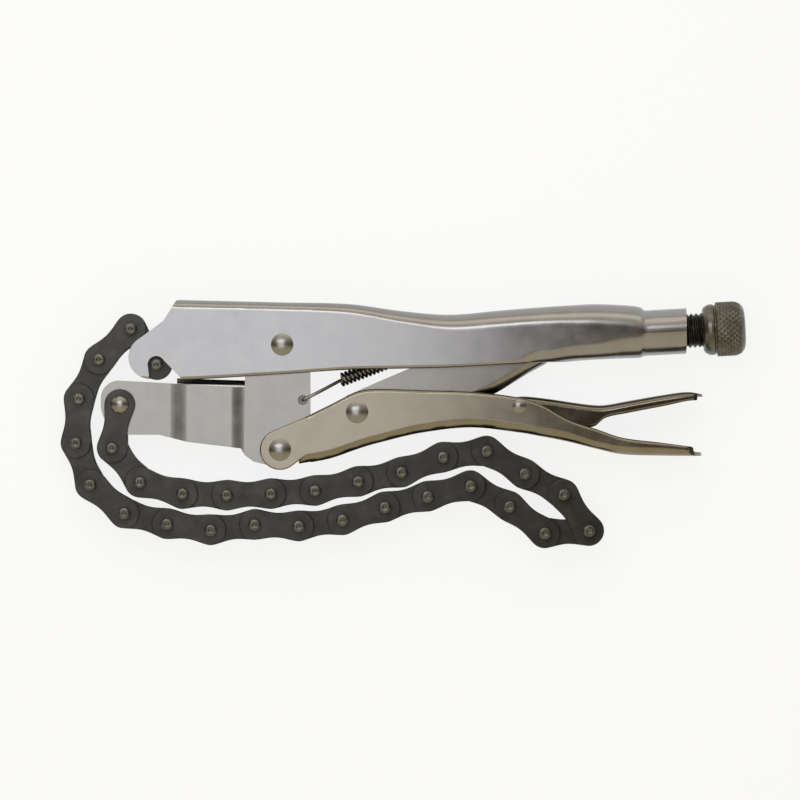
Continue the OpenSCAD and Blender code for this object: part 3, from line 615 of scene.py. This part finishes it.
# two sheets that step in twice, cut to the jaw's outline, with a web between them below, the inside
# of a fold above and the spring's hole in the upper sheet
def makeLowerJaw(p):
    foot, s1, s2 = np.array(p["foot"]), p["firstStep"], p["secondStep"]
    low, top = p["low"], p["top"]
    outline = np.concatenate([
        [(s1[0], p["throatY"])], arc((0, 0), p["eyeR"], *p["eyeArc"], 24),
        [(p["right"], y) for y in p["rightY"]], arc(foot, p["footR"], 0, -90, 14),
        stepped((s1[0], s1[0]), foot[1], p["sole"]), stepped((s1[0], *s2), low, p["belly"]),
        arc((p["left"] + p["lowerR"], low + p["lowerR"]), p["lowerR"], 270, 180, 24),
        arc((p["left"] + p["upperR"], top - p["upperR"]), p["upperR"], 180, 90, 18),
        stepped((s2[1], s1[1], s1[0]), top, p["brow"])])
    x = np.unique(np.concatenate([np.linspace(*p["sheetX"], 12), np.linspace(*s1[::-1], 15),
                                  np.linspace(*s2[::-1], 15)]))
    z = cheekZ(p, x)
    lowY, highY = p["sheetY"]
    piece = None
    for side in (1, -1):
        faces, backs = side * z + midZ, side * (z - wall) + midZ
        corners = ((lowY, backs), (highY, backs), (highY, faces), (lowY, faces))
        strip = np.stack([np.stack([x, np.full(len(x), y), h], axis=-1) for y, h in corners], axis=1)
        cheek = putPiece("cheek", [strip])
        cutter = putPiece("outline", [prismRings(outline, midZ - p["clip"], midZ + p["clip"])])
        carve(cheek, cutter, "INTERSECT")
        if piece is None:
            piece = cheek
        else:
            carve(piece, cheek, "UNION")
    web = prismRings(stepped((s1[0], s1[0], s2[0], s2[0]), low, p["web"]),
                     midZ - p["webHalf"], midZ + p["webHalf"])
    carve(piece, putPiece("web", [web]), "UNION")
    r, half = p["foldR"], p["foldHalf"]
    seat = top + p["foldLift"] - r
    bend = arc((seat, half - r), r, 0, 90, 12)
    root = [(seat - r, half)], [(seat - r, -half)]
    section = np.concatenate([root[0], bend[::-1], bend * [1, -1], root[1]])
    fold = np.array([np.column_stack([np.full(len(section), x), section + [y, midZ]])
                     for x, y in stepped((s2[1], s1[0]), 0, p["foldEnds"])])
    carve(piece, putPiece("innerFold", [fold]), "UNION")
    ring = arc(p["springHole"], p["springHoleR"], 0, 360, 40)[:-1]
    carve(piece, putPiece("hole", [prismRings(ring, midZ, midZ + cutDepth)]))
    softenEdges(piece, p["edgeRound"], flat=p["flat"])
    piece.name = "lowerJaw"
    dress(piece, "plated_steel", jawNickel, "lower_jaw")


makeLowerJaw(lowerJaw)
print("lower jaw made")

toggleLink = {
    "half": 4.8, "sheet": 1.9, "pivot": (26.9, -24.3), "eyeR": 7.0, "eyeArc": (110, 275),
    "tip": (94.5, 5.3), "tipR": 4.0, "tipArc": (-10, 115),
    "back": [(60, -24), (68, -21.4), (77.2, -17.4), (88, -10.6), (96.6, -5.9), (98.4, -1.5)],
    "front": [(60, -2.6), (37.5, -12)], "barHead": [(8, 22), (8, -33), (27.5, -31.3)],
    "barEnd": (98.6, 22), "hollow": [
        (10, 20), (10, -45), (59.6, -45), (59.2, -22.2), (67.4, -19.6), (76.2, -15.8), (87, -9),
        (95, -4.6), (91.5, -1.5), (88.5, 6), (84, 20)],
    "bossR": 5.2, "bossH": 1.3, "bossSink": 0.1, "bossEdge": 0.2, "rim": 4.2, "clip": 6,
    "edgeRound": 0.3}


# bar with a large round fold along its back, cut to the outline and hollowed from the front so that
# two side sheets are left; the bar stands out past the other sides, so only the back keeps the fold
def makeToggle(p):
    pivot, tip = np.array(p["pivot"]), np.array(p["tip"])
    outline = np.concatenate([arc(pivot, p["eyeR"], *p["eyeArc"], 28), p["back"],
                              arc(tip, p["tipR"], *p["tipArc"], 16), p["front"]])
    bar = np.concatenate([p["barHead"], p["back"], [p["barEnd"]]])
    rings = plateRings(bar, midZ - p["half"], midZ + p["half"], p["rim"], 10)
    piece = putPiece("toggleLink", [rings])
    cutter = prismRings(rounded(outline), midZ - p["clip"], midZ + p["clip"])
    carve(piece, putPiece("outline", [cutter]), "INTERSECT")
    inside = p["half"] - p["sheet"]
    carve(piece, putPiece("hollow", [prismRings(p["hollow"], midZ - inside, midZ + inside)]))
    softenEdges(piece, p["edgeRound"])
    r, h, foot = p["bossR"], p["bossH"], p["half"] - p["bossSink"]
    boss = [turnedRings([(z, 0), (z, r), (z + h, r), (z + h, 0)], (*pivot, midZ), (0, 0, 1), 40)
            for z in (foot, -foot - h)]
    bosses = putPiece("toggleBosses", boss)
    softenEdges(bosses, p["bossEdge"])
    dress(piece, "plated_steel", jawNickel, "toggle_link")
    dress(bosses, "plated_steel", jawNickel, "toggle_link")


makeToggle(toggleLink)
print("toggle made")


rivetRim = {"height": 0.15, "bevelR": 0.1, "bevelH": 0.06}


# rivet: a shank with two domed heads, each the cap of a sphere through the rim and the crown
def rivetRings(at, shankR, headR, headH, reach, sides=48):
    rise = headH - rivetRim["height"]
    ball = (headR**2 + rise**2) / (2 * rise)
    tilt = np.linspace(math.asin(headR / ball), 0, 14)
    cap = np.column_stack([reach + headH - ball * (1 - np.cos(tilt)), ball * np.sin(tilt)])
    rim = [(reach, headR - rivetRim["bevelR"]), (reach + rivetRim["bevelH"], headR)]
    top = np.concatenate([[(reach, shankR)], rim, cap])
    profile = np.concatenate([top[::-1] * [-1, 1], top])
    return turnedRings(profile, (*at, midZ), (0, 0, 1), sides)


largeRivet = {"shankR": 2.8, "headR": 4.0, "headH": 1.4, "reach": channelHalf}
rivets = {
    "jaw_rivet": {"at": (0.0, 0.0), **largeRivet},
    "handle_rivet": {"at": (-0.8, -37.8), **largeRivet},
    "toggle_rivet": {"at": (26.9, -24.3), **largeRivet},
    "release_rivet": {"at": (85.2, -22.0), "shankR": 1.7, "headR": 2.5, "headH": 1.1,
                      "reach": channelHalf},
    "chain_anchor_rivet": {"at": (-58.4, -21.5), "shankR": 2.4, "headR": 3.3, "headH": 1.7,
                           "reach": 5.95}}
for node, p in rivets.items():
    rivet = putPiece(node.replace("_", ""), [rivetRings(**p)])
    smoothShade(rivet)
    dress(rivet, "bright_steel", rivetSteel, node)
print("rivets made")

# pinEnd: how far below the pin's end, and the radius there, from the dimple to the rim
chain = {"links": 30, "pitch": 15.875, "endR": 5.495, "waistH": 8.8, "waistPower": 0.8,
         "outerPlate": (4.1, 5.9), "innerPlate": (2.1, 3.9), "rim": 0.32, "bushR": 3.6,
         "pinR": 2.2, "pinHalf": 9.8, "pinBevel": 0.65, "seat": (-45.2, -7.2),
         "pinEnd": [(0.5, 0), (0.42, 0.35), (0.12, 0.75), (0.02, 1.0), (0, 1.3), (0.1, 1.7), (0.3, 2.0)]}


# link outline: two round ends and a waist whose dip is a power of a raised cosine along the link
def linkOutline(p):
    r, pitch = p["endR"], p["pitch"]
    x = np.linspace(pitch, 0, 25)
    dip = r - p["waistH"] / 2
    y = r - dip * (0.5 - 0.5 * np.cos(2 * np.pi * x / pitch)) ** p["waistPower"]
    upper = np.column_stack([x, y])[1:-1]
    return np.concatenate([arc((pitch, 0), r, -90, 90, 20), upper, arc((0, 0), r, 90, 270, 20),
                           upper[::-1] * [1, -1]])


# pin: straight shank whose spun ends have a round rim, a ring and a dimple
def pinProfile(p):
    end = [(p["pinHalf"] - below, r) for below, r in (*p["pinEnd"], (p["pinBevel"], p["pinR"]))]
    return np.array([(-a, b) for a, b in end] + [(a, b) for a, b in reversed(end)])


# outer and inner links in turn between the joints' pins: outer links hold the pins, inner links the
# bushes; the first pin is the anchor rivet, and the last, held by an inner link, sits in the notch
def makeChain(p):
    count = p["links"]
    pins = np.array([jointAt[f"chain_pin_{k:02d}"][:2] for k in range(1, count + 1)] + [p["seat"]])
    outline, pin = linkOutline(p), pinProfile(p)
    for k in range(count):
        outer, last = k % 2 == 0, k == count - 1
        along = unit(pins[k + 1] - pins[k])
        turn = np.array([along, [-along[1], along[0]]])
        flat = outline @ turn + pins[k]
        low, high = p["outerPlate"] if outer else p["innerPlate"]
        shells = [plateRings(flat, midZ + a, midZ + b, p["rim"], 3)
                  for a, b in ((low, high), (-high, -low))]
        held = []
        if outer and k:
            held.append(pins[k])
        if outer or last:
            held.append(pins[k + 1])
        if not outer:
            ends = [pins[k]] if last else [pins[k], pins[k + 1]]
            bush = [(-low, 0), (-low, p["bushR"]), (low, p["bushR"]), (low, 0)]
            shells += [turnedRings(np.array(bush), (*at, midZ), (0, 0, 1), 28) for at in ends]
        node = f"chain_link_{k + 1:02d}"
        piece = putPiece(f"chainLink{k + 1:02d}", shells)
        smoothShade(piece)
        dress(piece, "chain_steel", chainOxide, node)
        if held:
            studs = [turnedRings(pin, (*at, midZ), (0, 0, 1), 32) for at in held]
            ends = putPiece(f"chainPins{k + 1:02d}", studs)
            smoothShade(ends)
            dress(ends, "chain_steel", pinOxide, node)


makeChain(chain)
print("chain made")

screw = {"pitch": 1.75, "outerR": 6.2, "depth": 0.75, "flank": 1.25, "rootFlat": 0.1,
         "start": -24.44, "startR": 5.4, "bevel": 0.8, "end": 24.0, "fadeIn": 1.5, "fadeOut": 0.6,
         "sides": 40, "step": 0.16, "smooth": 60,
         "tipStart": -27.54, "tipLong": 3, "tipR": 4.6, "tipBevel": 1, "tipEdge": 0.15,
         "knobStart": 24.1, "knobSides": 360, "gripR": 9.8, "knurls": 30, "knurlSlope": 0.9,
         "knurlDepth": 0.42, "knurlFlank": 1.6, "knurlFrom": 4.7, "knurlFadeIn": 0.5,
         "knurlTo": 13.9, "knurlFadeOut": 1.2,
         "knob": [(0.0, 0), (0.0, 7.4), (0.5, 8.2), (1.8, 9.0), (3.0, 9.2), (3.8, 9.15),
                  (4.1, 8.75), (4.5, 8.75), (4.8, 9.75), (5.4, 9.8), (11.0, 9.8), (12.2, 9.6),
                  (13.6, 8.9), (14.6, 7.7), (15.1, 6.0), (15.1, 0)]}


# thread: the radius falls along a triangle wave of the distance minus the turn, one pitch a turn
def threadLift(along, angle):
    p = screw
    wave = np.abs(2 * np.mod(along / p["pitch"] - angle / (2 * np.pi), 1) - 1)
    ends = eased((along - p["start"]) / p["fadeIn"]) * eased((p["end"] - along) / p["fadeOut"])
    return -p["depth"] * (1 - np.clip(wave * p["flank"] - p["rootFlat"], 0, 1)) * ends


# diamond knurl: the lower of two crossing helical ridges, only on the knob's grip
def knurlLift(along, angle):
    p = screw
    lean = along / p["gripR"] * p["knurlSlope"]
    one = np.abs(2 * np.mod(p["knurls"] * (angle + lean) / (2 * np.pi), 1) - 1)
    two = np.abs(2 * np.mod(p["knurls"] * (angle - lean) / (2 * np.pi), 1) - 1)
    ridge = np.minimum(np.minimum(one, two) * p["knurlFlank"], 1)
    first = eased((along - p["knurlFrom"]) / p["knurlFadeIn"])
    last = eased((p["knurlTo"] - along) / p["knurlFadeOut"])
    return -p["knurlDepth"] * (1 - ridge) * (first * last)


# shank with its thread, plain tip and knurled knob, all turned about the tail axis
def makeScrew(p):
    start, end, outerR = p["start"], p["end"], p["outerR"]
    side = dense([(start, p["startR"]), (start + p["bevel"], outerR), (end, outerR)], p["step"])
    shank = np.concatenate([[(start, 0.0)], side, [(end, 0.0)]])
    piece = putPiece("screwShank", [turnedRings(shank, tailOrigin, tailAxis, p["sides"], threadLift)])
    smoothShade(piece, p["smooth"])
    dress(piece, "dark_steel", screwOxide, "screw_shank")
    tipR, bevel, tipLong = p["tipR"], p["tipBevel"], p["tipLong"]
    profile = [(0, 0), (0, tipR - bevel), (bevel, tipR), (tipLong, tipR), (tipLong, 0)]
    tipAt = tailOrigin + tailAxis * p["tipStart"]
    tip = putPiece("screwTip", [turnedRings(profile, tipAt, tailAxis, p["sides"])])
    softenEdges(tip, p["tipEdge"])
    dress(tip, "dark_steel", screwOxide, "screw_tip")
    knob = np.concatenate([p["knob"][:1], dense(p["knob"][1:-1], p["step"]), p["knob"][-1:]])
    knobAt = tailOrigin + tailAxis * p["knobStart"]
    grip = putPiece("screwKnob", [turnedRings(knob, knobAt, tailAxis, p["knobSides"], knurlLift)])
    smoothShade(grip, p["smooth"])
    dress(grip, "dark_steel", knobOxide, "screw_knob")


makeScrew(screw)
print("screw made")

# lead is where the wire runs from the front hook to the coil: x, and steps in y and z from the hook
spring = {"wireR": 0.6, "coilR": 1.95, "turns": 25, "start": (21.0, -12.8), "end": (55.5, 0.4),
          "hole": (7.4, -19.9), "lift": 6.75, "tailZ": 2.8, "hookR": 1.2, "hookLean": 0.6,
          "lead": [(12.2, 2.4, 0), (16, 4.4, -2)], "rear": [
              (56.9, 1.0, 1.0), (58.6, 1.6, 0), (62.8, 1.6, 0), (63.4, 1.1, 0), (63.6, -0.8, 0)],
          "sides": 12, "perTurn": 24, "hookSteps": 6, "smooth": 60, "firstSide": (0.3, 0.2, 1.0)}


# curve through points: one cubic between each two, its slopes from neighbour to neighbour
def through(points, steps):
    points = np.asarray(points, float)
    k = np.arange(len(points), dtype=float)
    s = np.linspace(0, len(points) - 1, steps * (len(points) - 1) + 1)
    return np.column_stack([curveAt(np.column_stack([k, points[:, c]]), 1, s) for c in range(3)])


# wire: a circle carried along the path, its sideways direction handed on from point to point
def tubeRings(path, radius, sides, firstSide):
    ahead = unit(np.gradient(path, axis=0))
    side = [unit(np.cross(ahead[0], firstSide))]
    for t in ahead[1:]:
        side.append(unit(side[-1] - t * np.dot(side[-1], t)))
    side = np.array(side)
    other = np.cross(ahead, side)
    a = np.linspace(0, 2 * np.pi, sides, endpoint=False)[None, :, None]
    return path[:, None] + radius * (np.cos(a) * side[:, None] + np.sin(a) * other[:, None])


# wire from the jaw's hole over a quarter-round hook, round the close coil, a helix, to the rear hook
def makeSpring(p):
    start, end = np.array([*p["start"], 0.0]), np.array([*p["end"], 0.0])
    axis = unit(end - start)
    side = np.array([-axis[1], axis[0], 0.0])
    hx, hy, lift = *p["hole"], p["lift"]
    q = np.radians(np.linspace(0, 90, 5))
    over, below = 1 - np.cos(q), 1 - np.sin(q)
    hook = np.column_stack([hx + p["hookR"] * over, hy + p["hookLean"] * over, lift - p["hookR"] * below])
    front = np.concatenate([[(hx, hy, p["tailZ"])], hook, np.array(p["lead"]) + [0, hy, lift]])
    s = np.linspace(0, 1, p["turns"] * p["perTurn"] + 1)[:, None]
    a = 2 * np.pi * p["turns"] * s
    coil = start + (end - start) * s + p["coilR"] * (np.cos(a) * [0, 0, 1] - np.sin(a) * side)
    steps = p["hookSteps"]
    path = np.concatenate([through(np.concatenate([front, coil[:1]]), steps)[:-1], coil,
                           through(np.concatenate([coil[-1:], p["rear"]]), steps)[1:]])
    rings = tubeRings(path + [0, 0, midZ], p["wireR"], p["sides"], p["firstSide"])
    piece = putPiece("returnSpring", [rings])
    smoothShade(piece, p["smooth"])
    piece.data.materials.append(springWire)
    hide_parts("return_spring")
    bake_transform(piece)


makeSpring(spring)
print("spring made")

stage = {"floorHalf": 3.0, "floorHex": "#f6f6f5", "whiteShare": 0.85, "sky": [
    (0.0, "#a89f88"), (0.36, "#a29981"), (0.47, "#352f25"), (0.53, "#2c271f"), (0.64, "#6f6b62"),
    (0.8, "#a39d90")], "skyGlow": 2.2}


# Matt white paper sweep: to the camera and to mirrors most of it is plain white, and the rest keeps
# the soft shadow.
def makeFloor(p):
    h = p["floorHalf"]
    mesh = bpy.data.meshes.new("studioFloor")
    mesh.from_pydata([(-h, -h, 0), (h, -h, 0), (h, h, 0), (-h, h, 0)], [], [(0, 1, 2, 3)])
    floor = bpy.data.objects.new("studioFloor", mesh)
    bpy.context.scene.collection.objects.link(floor)
    material, tree = newMaterial("whitePaperSweep")
    rays = addNode(tree, "ShaderNodeLightPath")
    seen = addNode(tree, "ShaderNodeMath", {
        0: rays.outputs["Is Camera Ray"], 1: rays.outputs["Is Glossy Ray"]}, operation="ADD")
    seen = addNode(tree, "ShaderNodeMath", {
        0: seen.outputs[0], 1: rays.outputs["Is Transmission Ray"]}, operation="ADD", use_clamp=True)
    share = addNode(tree, "ShaderNodeMath", {
        0: seen.outputs[0], 1: p["whiteShare"]}, operation="MULTIPLY")
    paper = addNode(tree, "ShaderNodeBsdfDiffuse", {"Color": linear(p["floorHex"])})
    white = addNode(tree, "ShaderNodeEmission", {"Color": (1, 1, 1, 1), "Strength": 1.0})
    mixed = addNode(tree, "ShaderNodeMixShader", {
        0: share.outputs[0], 1: paper.outputs[0], 2: white.outputs[0]})
    addNode(tree, "ShaderNodeOutputMaterial", {"Surface": mixed.outputs[0]})
    mesh.materials.append(material)


# room: its tone runs from front to back, warm grey, dark overhead and at both ends, then pale, so
# that flats and folds mirror different tones
def makeRoom(p):
    world = bpy.data.worlds.new("studioRoom")
    bpy.context.scene.world = world
    world.use_nodes = True
    tree = world.node_tree
    tree.nodes.clear()
    way = addNode(tree, "ShaderNodeTexCoord").outputs["Generated"]
    back = addNode(tree, "ShaderNodeSeparateXYZ", {0: way}).outputs["Y"]
    share = addNode(tree, "ShaderNodeMapRange", {"Value": back, "From Min": -1.0, "From Max": 1.0})
    tone = addNode(tree, "ShaderNodeValToRGB", {"Fac": share.outputs["Result"]})
    stops = tone.color_ramp.elements
    while len(stops) < len(p["sky"]):
        stops.new(0.5)
    for stop, (position, hexColour) in zip(stops, p["sky"]):
        stop.position, stop.color = position, linear(hexColour)
    sky = addNode(tree, "ShaderNodeBackground", {
        "Color": tone.outputs["Color"], "Strength": p["skyGlow"]})
    addNode(tree, "ShaderNodeOutputWorld", {"Surface": sky.outputs[0]})


lamps = [
    {"name": "overheadBox", "at": (-0.05, 0.02, 0.42), "aim": (-0.05, 0.02, 0), "size": (0.25, 0.26),
     "glow": 1.75, "hex": "#f8f9ff"},
    {"name": "foldStrip", "at": (-0.12, 0.27, 0.62), "aim": (-0.1, 0.0, 0.0), "size": (0.5, 0.12),
     "glow": 3.7, "hex": "#ffffff"},
    {"name": "sideWindow", "at": (0.1, 0.66, 0.36), "aim": (0.08, 0.0, 0.01), "size": (1.0, 0.3),
     "glow": 0.7, "hex": "#fff6e6"}]


# glow is the brightness that a mirror would show: power = pi x area x glow
def makeLamp(p):
    light = bpy.data.lights.new(p["name"], "AREA")
    light.shape = "RECTANGLE"
    light.size, light.size_y = p["size"]
    light.energy = math.pi * p["size"][0] * p["size"][1] * p["glow"]
    light.color = linear(p["hex"])[:3]
    lamp = bpy.data.objects.new(p["name"], light)
    bpy.context.scene.collection.objects.link(lamp)
    lamp.location = p["at"]
    lamp.rotation_euler = (Vector(p["aim"]) - Vector(p["at"])).to_track_quat("-Z", "Y").to_euler()


shot = {"centre": (42.3, -19.9), "wide": 288.0, "away": 3000.0, "sensor": 36.0, "clipM": 20}


# straight above the picture's middle; wide is what the picture spans at the middle plane
def makeCamera(p):
    camera = bpy.data.cameras.new("topShot")
    camera.sensor_width = p["sensor"]
    camera.sensor_fit = "HORIZONTAL"
    camera.lens = p["sensor"] * p["away"] / p["wide"]
    camera.clip_end = p["clipM"]
    view = bpy.data.objects.new("topShot", camera)
    bpy.context.scene.collection.objects.link(view)
    view.location = (p["centre"][0] * mm, p["centre"][1] * mm, (midZ + p["away"]) * mm)
    bpy.context.scene.camera = view


makeFloor(stage)
makeRoom(stage)
for lamp in lamps:
    makeLamp(lamp)
makeCamera(shot)
bpy.context.scene.view_settings.view_transform = "Standard"
print("studio set")
